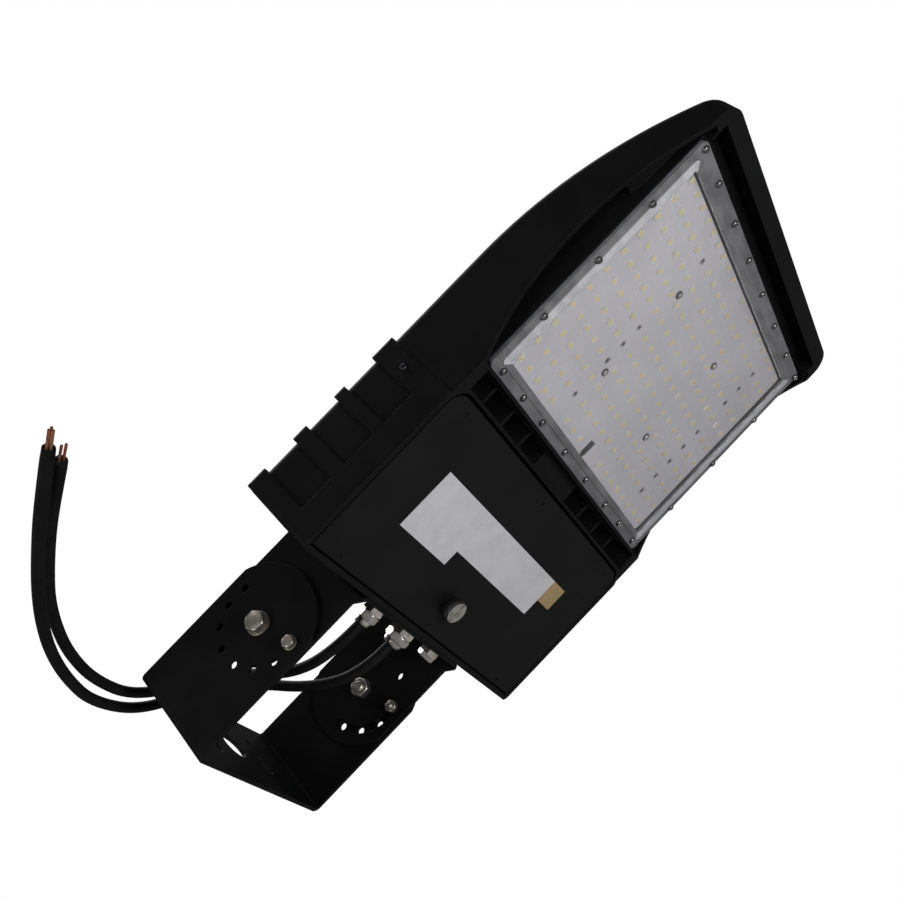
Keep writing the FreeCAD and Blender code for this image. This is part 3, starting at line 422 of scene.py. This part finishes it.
def cropped(rule, limit):
    """A rule of the angle that never passes a limit."""
    return lambda angle: min(rule(angle), limit)


def solids(node):
    """The box of each separate solid in a CAD node, as (lowest corner, highest corner)."""
    mesh = bmesh.new()
    mesh.from_mesh(NODES[node].data)
    bmesh.ops.remove_doubles(mesh, verts=mesh.verts, dist=0.002 * MM)
    found, seen = [], set()
    for first in mesh.verts:
        if first in seen:
            continue
        seen.add(first)
        waiting, group = [first], []
        while waiting:
            point = waiting.pop()
            group.append(point.co.copy())
            for edge in point.link_edges:
                other = edge.other_vert(point)
                if other not in seen:
                    seen.add(other)
                    waiting.append(other)
        found.append((Vector([min(p[k] for p in group) for k in range(3)]),
                      Vector([max(p[k] for p in group) for k in range(3)])))
    mesh.free()
    return sorted(found, key=lambda box: tuple(round(part, 5) for part in box[0]))


def middle(box):
    return (box[0] + box[1]) / 2


def outward(box):
    """1 on the +Y side and -1 on the -Y side."""
    return 1 if middle(box).y > 0 else -1


# ---- bolts, nuts, washers and screws -----------------------------------------
THREAD_PITCH = 1.25 * MM
THREAD_DEPTH = 0.35 * MM
BOLT_RADIUS = {"pivot_bolts": 4.0 * MM, "lock_bolts": 2.5 * MM}
BRACKET_HEAD = 4.0 * MM
HEX_CHAMFER = 0.084
CHAMFER_SHARES = (0.0, 0.35, 0.7, 1.0)
SCREW_CAP = 2.0 * MM
CROSS_HALF = 0.55 * MM
CROSS_REACH = 1.7 * MM
CROSS_DEPTH = 0.9 * MM


def hex_steps(flats, height, both=False):
    """A hexagon's steps, its corners trimmed by a turned chamfer at its outer end or at both."""
    rule, corner, trim = hexagon(flats), flats / 2 * 1.155, flats / 2 * 0.96
    run = flats * HEX_CHAMFER

    def trimmed(share):
        return cropped(rule, trim + (corner - trim) * share ** 0.8)

    foot = [(run * share, trimmed(share)) for share in CHAMFER_SHARES] if both else [(0, rule)]
    return foot + [(height - run * share, trimmed(share)) for share in reversed(CHAMFER_SHARES)]


def domed_end(radius, rise):
    """Closes a turned shape with a slightly dished face."""
    return [(rise, radius * 0.86), (rise - 0.25 * MM, radius * 0.78),
            (rise - 0.3 * MM, radius * 0.2)]


def make_bolts(node, flats, head, finish):
    """Hex bolts through both ears: the head and a threaded end that shows past the nut."""
    form = Form()
    for box in solids(node):
        way = outward(box)
        face, tip = (box[1].y, box[0].y) if way > 0 else (box[0].y, box[1].y)
        seat = Vector((middle(box).x, face - way * head, middle(box).z))
        form.turned(seat, (0, way, 0), hex_steps(flats, head) + domed_end(flats / 2, head))
        radius, run = BOLT_RADIUS[node], abs(face - tip) - head
        steps = [(0, radius * 0.98)]
        for number in range(int(run / THREAD_PITCH)):
            steps.append(((number + 0.25) * THREAD_PITCH, radius))
            steps.append(((number + 0.75) * THREAD_PITCH, radius - THREAD_DEPTH))
        steps.append((run - 0.4 * MM, radius - 0.3 * MM))
        steps.append((run, radius - 0.8 * MM))
        form.turned(seat, (0, -way, 0), steps, 0, 24)
    form.piece(node.replace("bolts", "bolt_set"), [finish], "yoke", node, slot="bright_steel")


def make_washers(node, finish):
    """Flat washers with rolled edges."""
    form = Form()
    for box in solids(node):
        way = outward(box)
        radius = (box[1].x - box[0].x) / 2
        wall = box[1].y - box[0].y
        seat = Vector((middle(box).x, box[0].y if way > 0 else box[1].y, middle(box).z))
        edge = 0.35 * MM
        form.turned(seat, (0, way, 0),
                    [(0, radius * 0.5), (0, radius - edge), (edge, radius), (wall - edge, radius),
                     (wall - edge * 0.3, radius - edge * 0.3), (wall, radius - edge),
                     (wall, radius * 0.5)])
    form.piece(node.replace("washers", "washer_set"), [finish], "yoke", node, slot="bright_steel")


def make_nuts(node, flats, finish):
    """Hex nuts on the bolts' inner ends, each bored for its bolt."""
    form = Form()
    for box in solids(node):
        way = outward(box)
        wall = box[1].y - box[0].y
        seat = Vector((middle(box).x, box[1].y if way > 0 else box[0].y, middle(box).z))
        bore = flats * 0.33
        steps = [(0.3 * MM, bore)] + hex_steps(flats, wall, both=True)
        steps += [(wall, bore * 1.1), (wall - 0.5 * MM, bore)]
        form.turned(seat, (0, -way, 0), steps)
    form.piece(node.replace("nuts", "nut_set"), [finish], "yoke", node, slot="bright_steel")


def cross_recess(radius, top):
    """The height of a pan head's face at an angle, sunk where its cross recess is."""
    def height(angle):
        x, y = radius * math.cos(angle), radius * math.sin(angle)
        inside = radius < CROSS_REACH and min(abs(x), abs(y)) < CROSS_HALF
        return top - CROSS_DEPTH * (1 - 0.4 * radius / CROSS_REACH) if inside else top
    return height


def pan_head(form, centre, along, radius, height):
    """A domed screw head with a cross recess."""
    steps = [(0, radius * 0.94), (height * 0.2, radius), (height * 0.45, radius * 0.97),
             (height * 0.72, radius * 0.86), (height * 0.88, radius * 0.72)]
    for share, rise in ((0.6, 0.94), (0.5, 0.97), (0.42, 0.985), (0.34, 0.995),
                        (0.26, 1.0), (0.16, 1.0), (0.05, 1.0)):
        steps.append((cross_recess(radius * share, height * rise), radius * share))
    form.turned(centre, along, steps, 0, 40)


def make_small_screws(node, finish, along=None, shadow_collar=None):
    """Pan-head screws, facing one way or outward, some with a black ring on their seat that is
    painted shadow round the head.
    """
    form = Form()
    for box in solids(node):
        way = Vector(along or (0, outward(box), 0))
        centre = middle(box)
        radius = (box[1].x - box[0].x) / 2
        if along:
            seat = Vector((centre.x, centre.y, box[0].z + SCREW_CAP))
            shank = box[1].z - seat.z
        else:
            face = box[1].y if way.y > 0 else box[0].y
            seat = Vector((centre.x, face, centre.z)) - way * SCREW_CAP
            shank = box[1].y - box[0].y - SCREW_CAP
        # The black ring round the head is painted shadow.
        if shadow_collar:
            form.turned(seat, way, [(0, radius), (0.5 * MM, radius), (0.7 * MM, radius * 0.93),
                                    (0.7 * MM, radius * 0.5)], 1, 32)
        pan_head(form, seat, way, radius * (0.74 if shadow_collar else 0.84), SCREW_CAP)
        form.turned(seat, -way, [(0, radius * 0.5), (shank * 0.9, radius * 0.5),
                                 (shank, radius * 0.3)], 0, 12)
    finishes = [finish, shadow_collar] if shadow_collar else [finish]
    form.piece(node.replace("screws", "screw_set"), finishes, "head", node)


def make_bracket_bolts(finish):
    """Hex bolts that hold the bracket to the housing's rear wall."""
    form = Form()
    for box in solids("bracket_bolts"):
        centre = middle(box)
        flats = box[1].y - box[0].y
        seat = Vector((box[0].x + BRACKET_HEAD, centre.y, centre.z))
        form.turned(seat, (-1, 0, 0),
                    hex_steps(flats, BRACKET_HEAD) + domed_end(flats / 2, BRACKET_HEAD))
        form.turned(seat, (1, 0, 0), [(0, flats * 0.3), (box[1].x - seat.x, flats * 0.3)], 0, 16)
    form.piece("bracket_bolt_set", [finish], "head", "bracket_bolts", slot="black_steel")


# ---- glands ------------------------------------------------------------------
def make_glands(finish, seal):
    """Dome nuts with rounded crowns and a rubber seal round each cord, on chamfered flanges."""
    form = Form()
    for box in solids("gland_domes"):
        centre = middle(box)
        flats = box[1].y - box[0].y
        length = box[1].x - box[0].x
        seat = Vector((box[1].x, centre.y, centre.z))
        ring = length * 0.6
        steps = hex_steps(flats, ring, both=True)
        crown = length - ring
        for share in (0.0, 0.25, 0.5, 0.75, 1.0):
            turn = share * math.pi / 2
            steps.append((ring + crown * math.sin(turn),
                          flats / 2 * 0.93 - flats * 0.2 * (1 - math.cos(turn))))
        steps.append((length, CORD_SIZE / 2 + 0.9 * MM))
        form.turned(seat, (-1, 0, 0), steps)
        form.turned(seat + Vector((-length + 0.6 * MM, 0, 0)), (-1, 0, 0),
                    [(0, CORD_SIZE / 2 + 1.0 * MM), (0.5 * MM, CORD_SIZE / 2 + 0.9 * MM),
                     (1.1 * MM, CORD_SIZE / 2 + 0.2 * MM)], 1, 32)
    form.piece("gland_crowns", [finish, seal], "head", "gland_domes", slot="nickel")


def make_plug(finish):
    """The blanking plug: a chamfered hexagon with a shallow dome."""
    form = Form()
    low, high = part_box("breather_plug")
    flats = high.y - low.y
    seat = Vector((high.x, (low.y + high.y) / 2, (low.z + high.z) / 2))
    length = high.x - low.x
    steps = hex_steps(flats, length * 0.8)
    steps += [(length * 0.86, flats * 0.4), (length * 0.97, flats * 0.33), (length, flats * 0.2)]
    form.turned(seat, (-1, 0, 0), steps)
    form.piece("breather_cap", [finish], "head", "breather_plug", slot="nickel")


# ---- thumb screw -------------------------------------------------------------
KNURLS = 28
KNURL_DEPTH = 0.45 * MM


def make_thumb_grip(finish):
    """The black grip with its ring of knurls, waisted above the door."""
    low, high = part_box("thumb_grip")
    radius = (high.x - low.x) / 2
    centre = Vector(((low.x + high.x) / 2, (low.y + high.y) / 2, high.z))
    height = high.z - low.z

    def knurled(share):
        return lambda angle: radius * share - KNURL_DEPTH * (0.5 + 0.5 * math.cos(KNURLS * angle))

    stem = radius * 0.65
    steps = [(0, stem), (height * 0.3, stem), (height * 0.34, radius * 0.8),
             (height * 0.4, knurled(0.96)), (height * 0.45, knurled(1.0)),
             (height * 0.92, knurled(1.0)), (height * 0.97, knurled(0.97)),
             (height, radius * 0.9), (height, radius * 0.3)]
    form = Form().turned(centre, (0, 0, -1), steps, 0, KNURLS * 8)
    form.piece("thumb_grip_knurled", [finish], "thumb_screw", "thumb_grip", slot="grip_black",
               crease=50)


# ---- lamps, board parts and lens ---------------------------------------------
LAMP_RIM = 0.7 * MM
PANE_MARGIN = 0.8 * MM
SIDE_FLANGE = 6.0 * MM
END_BAND = 5.0 * MM
FLANGE_SINK = 0.7 * MM


def make_lamps(package, glow):
    """Each lamp: a white package with chamfered sides and a rounded pad of phosphor on it."""
    form = Form()
    for low, high in solids("led_chips"):
        form.slab(low, high, [(low.z, 0.12 * MM), (low.z + 0.12 * MM, 0.0), (high.z, 0.0)],
                  0.3 * MM, 0, 2)
        form.slab((low.x + LAMP_RIM, low.y + LAMP_RIM), (high.x - LAMP_RIM, high.y - LAMP_RIM),
                  [(low.z - 0.1 * MM, 0.4 * MM), (low.z - 0.04 * MM, 0.08 * MM),
                   (low.z + 0.1 * MM, 0.0)], 1.3 * MM, 1, 4)
    form.piece("lamp_packages", [package, glow], "head", "led_chips", slot="lamp_yellow")


def make_resistors(body, ends):
    """Small resistors: a dark body between two tinned ends."""
    form = Form()
    for low, high in solids("board_resistors"):
        run = (high.x - low.x) * 0.22
        levels = [(low.z, 0.08 * MM), (low.z + 0.08 * MM, 0.0), (high.z, 0.0)]
        form.slab((low.x + run, low.y), (high.x - run, high.y), levels, 0.1 * MM, 0, 2)
        form.slab((low.x, low.y), (low.x + run, high.y), levels, 0.15 * MM, 1, 2)
        form.slab((high.x - run, low.y), (high.x, high.y), levels, 0.15 * MM, 1, 2)
    form.piece("resistor_set", [body, ends], "head", "board_resistors")


def make_lens(pane, rim, frosted):
    """A clear pane in a cloudy flange, which is sunk round its bossed screws and raised inside."""
    low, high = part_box("lens_cover")
    board_low, board_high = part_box("led_board")
    outer = loops(low, high, 4 * MM)
    step = loops(Vector((board_low.x - END_BAND, low.y + SIDE_FLANGE, 0)),
                 Vector((board_high.x + END_BAND, high.y - SIDE_FLANGE, 0)), 3 * MM)
    pane_low = Vector((board_low.x - PANE_MARGIN, board_low.y - PANE_MARGIN, 0))
    pane_high = Vector((board_high.x + PANE_MARGIN, board_high.y + PANE_MARGIN, 0))
    inner = loops(pane_low, pane_high, 2 * MM)
    flat = low.z + FLANGE_SINK
    profile = [(outer, 0.0, high.z), (outer, 0.0, flat + 0.4 * MM),
               (outer, -0.2 * MM, flat + 0.1 * MM), (outer, -0.6 * MM, flat),
               (step, 0.9 * MM, flat), (step, 0.6 * MM, flat - 0.1 * MM),
               (step, 0.3 * MM, low.z + 0.15 * MM), (step, 0.0, low.z),
               (inner, 0.0, low.z), (inner, 0.0, high.z)]
    form = Form()
    form.band([[Vector((x + nx * grow, y + ny * grow, height)) for x, y, nx, ny in loop]
               for loop, grow, height in profile])
    for number, face in enumerate(form.faces):
        centre = sum((form.points[corner] for corner in face), Vector()) / len(face)
        if centre.z < low.z + 0.01 * MM and abs(centre.y) > board_high.y:
            form.finish[number] = 1
    for box in solids("lens_screws"):
        centre, radius = middle(box), (box[1].x - box[0].x) / 2
        form.turned(Vector((centre.x, centre.y, flat)), (0, 0, -1),
                    [(-0.2 * MM, radius * 1.15), (0.15 * MM, radius * 1.1),
                     (0.3 * MM, radius * 0.98), (0.3 * MM, radius * 0.5)], 0, 32)
    form.piece("lens_flange", [rim, frosted], "head", slot="clear_lens")
    clear = Form().slab((pane_low.x, pane_low.y), (pane_high.x, pane_high.y),
                        [(low.z + 0.02 * MM, 0.05 * MM), (high.z, 0.05 * MM)], 2 * MM, 0, 6)
    clear.piece("lens_pane", [pane], "head", "lens_cover", slot="clear_lens")


# ---- cords -------------------------------------------------------------------
def route_line(name, points):
    """The smooth line through a route, read from its spline."""
    curve = bpy.data.curves.new(name, "CURVE")
    curve.dimensions = "3D"
    spline = curve.splines.new("NURBS")
    spline.points.add(len(points) - 1)
    for spot, point in zip(spline.points, points):
        spot.co = (*[part * MM for part in point], 1.0)
    spline.order_u = 3
    spline.use_endpoint_u = True
    spline.resolution_u = 10
    carrier = bpy.data.objects.new(name, curve)
    bpy.context.scene.collection.objects.link(carrier)
    mesh = bpy.data.meshes.new_from_object(carrier)
    line = [vertex.co.copy() for vertex in mesh.vertices]
    bpy.data.objects.remove(carrier)
    bpy.data.meshes.remove(mesh)
    bpy.data.curves.remove(curve)
    return line


def tube_rings(line, radius, sides):
    """Rings square to a line, turned as little as the line allows."""
    rings = []
    across = None
    for number, spot in enumerate(line):
        ahead = line[min(number + 1, len(line) - 1)] - line[max(number - 1, 0)]
        ahead.normalize()
        if across is None:
            across = ahead.orthogonal().normalized()
        across = (across - ahead * across.dot(ahead)).normalized()
        other = ahead.cross(across)
        reach = at(radius, number)
        rings.append([spot + (across * math.cos(turn) + other * math.sin(turn)) * reach
                      for turn in (2 * math.pi * side / sides for side in range(sides))])
    return rings


def make_cord(name, gland, route, jacket, replaced):
    """One cord as a tube on its smooth line, out from its gland on the head."""
    start = (GLAND_END, gland, GLAND_HEIGHT)
    line = route_line(name + "_line", [start] + list(route))
    last = len(line) - 1

    def radius(number):
        return CORD_SIZE / 2 * (0.94 if number in (0, last) else 1.0)

    form = Form().skin(tube_rings(line, radius, CORD_SIDES))
    cord = form.piece(name, [jacket], None, replaced, slot="black_rubber", crease=60)
    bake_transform(cord)


# ---- make everything ---------------------------------------------------------
CHIP_BOXES = solids("led_chips")
CHIP_XS = sorted({round(middle(box).x, 5) for box in CHIP_BOXES})
CHIP_YS = sorted({round(middle(box).y, 5) for box in CHIP_BOXES})
CHIP_FIRST = Vector((CHIP_XS[0], CHIP_YS[0]))
CHIP_PITCH = Vector(((CHIP_XS[-1] - CHIP_XS[0]) / (len(CHIP_XS) - 1),
                     (CHIP_YS[-1] - CHIP_YS[0]) / (len(CHIP_YS) - 1)))

housing_coat = powder_coat("housing_coat", 0.0045, 0.10)
door_coat = powder_coat("door_coat", 0.0062, 0.11, 0.55)
yoke_coat = powder_coat("yoke_coat", 0.0038, 0.10, 0.45)
zinc = plated("zinc_plate", (0.50, 0.46, 0.415, 1.0), 0.36)
# The washers' zinc is the bolts' zinc darkened: partly a duller washer, partly painted shade in the
# gap under each bolt head.
washer_zinc_and_shade = plated("washer_zinc_and_shade", (0.20, 0.185, 0.17, 1.0), 0.38)
nickel = plated("nickel_plate", (0.72, 0.69, 0.64, 1.0), 0.2, 0.15)
dark_nickel = plated("dark_nickel", (0.24, 0.235, 0.23, 1.0), 0.26, 0.15)
black_oxide = plated("black_oxide", (0.05, 0.05, 0.055, 1.0), 0.4)
cord_rubber = rubber("cord_rubber", 0.0045, 0.55, 0.12)
seal_rubber = rubber("seal_rubber", 0.01, 0.6, 0.15)
grip_plastic = moulded("grip_plastic", grey(0.010), 0.35, 0.3)
board_white = lamp_board()
package_white = moulded("package_white", grey(0.80, (1.0, 0.985, 0.94)), 0.45)
chip_yellow = phosphor()
resistor_grey = moulded("resistor_grey", grey(0.10, COOL), 0.4)
solder = plated("solder", (0.62, 0.62, 0.64, 1.0), 0.35)
plug_white = moulded("plug_white", grey(0.5, WARM), 0.4)
lead_grey = moulded("lead_grey", grey(0.05, COOL), 0.5)
pad_grey = moulded("pad_grey", grey(0.2), 0.7)
gasket_grey = rubber("gasket_grey", 0.17, 0.5)
silver_film = film("silver_film", (0.50, 0.495, 0.515, 1.0))
gold_film = film("gold_film", (0.33, 0.235, 0.115, 1.0))
copper = plated("copper", (0.72, 0.36, 0.2, 1.0), 0.35)
driver_paint = moulded("driver_paint", grey(0.08), 0.5)
pane = clear_pane()
rim = frosted_rim("frosted_rim", 0.10, 0.155)
side_rim = frosted_rim("frosted_side", 0.36, 0.46)

CARRIED = {
    "yoke": yoke_coat, "head_bracket": yoke_coat,
    "driver_box": housing_coat, "lamp_body": housing_coat, "door": door_coat,
    "led_board": board_white, "thermal_pad": pad_grey, "lens_gasket": gasket_grey,
    # The board connector takes the leads' dark grey, so it shows as a thin dark bar on the white
    # board.
    "board_connector": lead_grey, "board_leads": lead_grey, "hinge_pins": zinc,
    "door_gasket": seal_rubber, "spec_label": silver_film, "rating_label": silver_film,
    "gold_label": gold_film, "thumb_screw": nickel,
    "gland_bodies": nickel, "gland_locknuts": nickel,
    "dimming_conductors": copper, "supply_conductors": copper,
    "led_driver": driver_paint, "surge_guard": driver_paint, "terminal_block": plug_white,
}
for node, finish in CARRIED.items():
    for place in NODES[node].material_slots:
        place.material = finish

make_bolts("pivot_bolts", 13 * MM, 5.3 * MM, zinc)
make_bolts("lock_bolts", 8 * MM, 3.5 * MM, zinc)
make_washers("pivot_washers", washer_zinc_and_shade)
make_washers("lock_washers", washer_zinc_and_shade)
make_nuts("pivot_nuts", 13 * MM, zinc)
make_nuts("lock_nuts", 8 * MM, zinc)
make_bracket_bolts(black_oxide)
make_small_screws("side_screws", black_oxide)
make_small_screws("lens_screws", dark_nickel, DOWN)
# The board screws' black ring round each head is painted shadow.
make_small_screws("board_screws", nickel, DOWN, black_oxide)
make_glands(nickel, seal_rubber)
make_plug(nickel)
make_thumb_grip(grip_plastic)
make_lamps(package_white, chip_yellow)
make_resistors(resistor_grey, solder)
make_lens(pane, rim, side_rim)
make_cord("dimming_cord_jacket", DIMMING_GLAND, DIMMING_ROUTE, cord_rubber,
          "dimming_cord")
make_cord("supply_cord_jacket", SUPPLY_GLAND, SUPPLY_ROUTE, cord_rubber,
          "supply_cord")


# ---- light, floor and camera -------------------------------------------------
FLOOR_HEIGHT = -1.5
FLOOR_SIZE = 9
WORLD_LIGHT = 0.09
# Each lamp's place, what it is aimed at, its width and its power.
LAMPS = {
    "key_below": ((0.62, -0.5, -0.82), (0.25, 0, -0.03), 0.45, 6.9),
    "fill_near": ((-0.75, -1.1, 0.1), (0.2, 0, 0), 0.6, 7.0),
    "top_soft": ((0.3, 0.4, 2.6), (0.25, 0, 0), 3.0, 60.0),
}


def make_floor():
    bpy.ops.mesh.primitive_plane_add(size=FLOOR_SIZE, location=(0.2, 0, FLOOR_HEIGHT))
    floor = bpy.context.object
    floor.name = "studio_floor"
    paint = Paint("floor_paint")
    cloud = paint.noise(0.4, 2.0)
    paint.set(Base_Color=paint.mix(cloud, grey(0.80), grey(0.83)), Roughness=0.8,
              Specular_IOR_Level=0.2)
    floor.data.materials.append(paint.material)


def make_lamp(name, place, aim, size, power):
    light = bpy.data.lights.new(name, "AREA")
    light.shape = "DISK"
    light.size = size
    light.energy = power
    thing = bpy.data.objects.new(name, light)
    bpy.context.scene.collection.objects.link(thing)
    thing.location = place
    thing.rotation_euler = (Vector(aim) - Vector(place)).to_track_quat("-Z", "Y").to_euler()


def make_world():
    """White behind the object, and a dimmer even light on it."""
    world = bpy.data.worlds.new("studio_world")
    bpy.context.scene.world = world
    world.use_nodes = True
    nodes, links = world.node_tree.nodes, world.node_tree.links
    seen = nodes.new("ShaderNodeBackground")
    seen.inputs["Color"].default_value = (1, 1, 1, 1)
    seen.inputs["Strength"].default_value = 1.0
    soft = nodes["Background"]
    soft.inputs["Color"].default_value = (1, 1, 1, 1)
    soft.inputs["Strength"].default_value = WORLD_LIGHT
    rays = nodes.new("ShaderNodeLightPath")
    mixed = nodes.new("ShaderNodeMixShader")
    links.new(rays.outputs["Is Camera Ray"], mixed.inputs[0])
    links.new(soft.outputs[0], mixed.inputs[1])
    links.new(seen.outputs[0], mixed.inputs[2])
    links.new(mixed.outputs[0], nodes["World Output"].inputs["Surface"])


def make_camera():
    camera = bpy.data.cameras.new("camera")
    camera.sensor_width = SENSOR
    camera.lens = CAMERA_LENS
    camera.clip_start = 0.01
    thing = bpy.data.objects.new("camera", camera)
    bpy.context.scene.collection.objects.link(thing)
    ahead = (Vector(CAMERA_AIM) - Vector(CAMERA_PLACE)).normalized()
    right = ahead.cross(Vector(CAMERA_UP)).normalized()
    turn = Matrix((right, right.cross(ahead), -ahead)).transposed()
    thing.matrix_world = Matrix.Translation(CAMERA_PLACE) @ turn.to_4x4()
    bpy.context.scene.camera = thing


make_floor()
make_world()
for name, setting in LAMPS.items():
    make_lamp(name, *setting)
make_camera()
bpy.context.scene.view_settings.view_transform = "Standard"
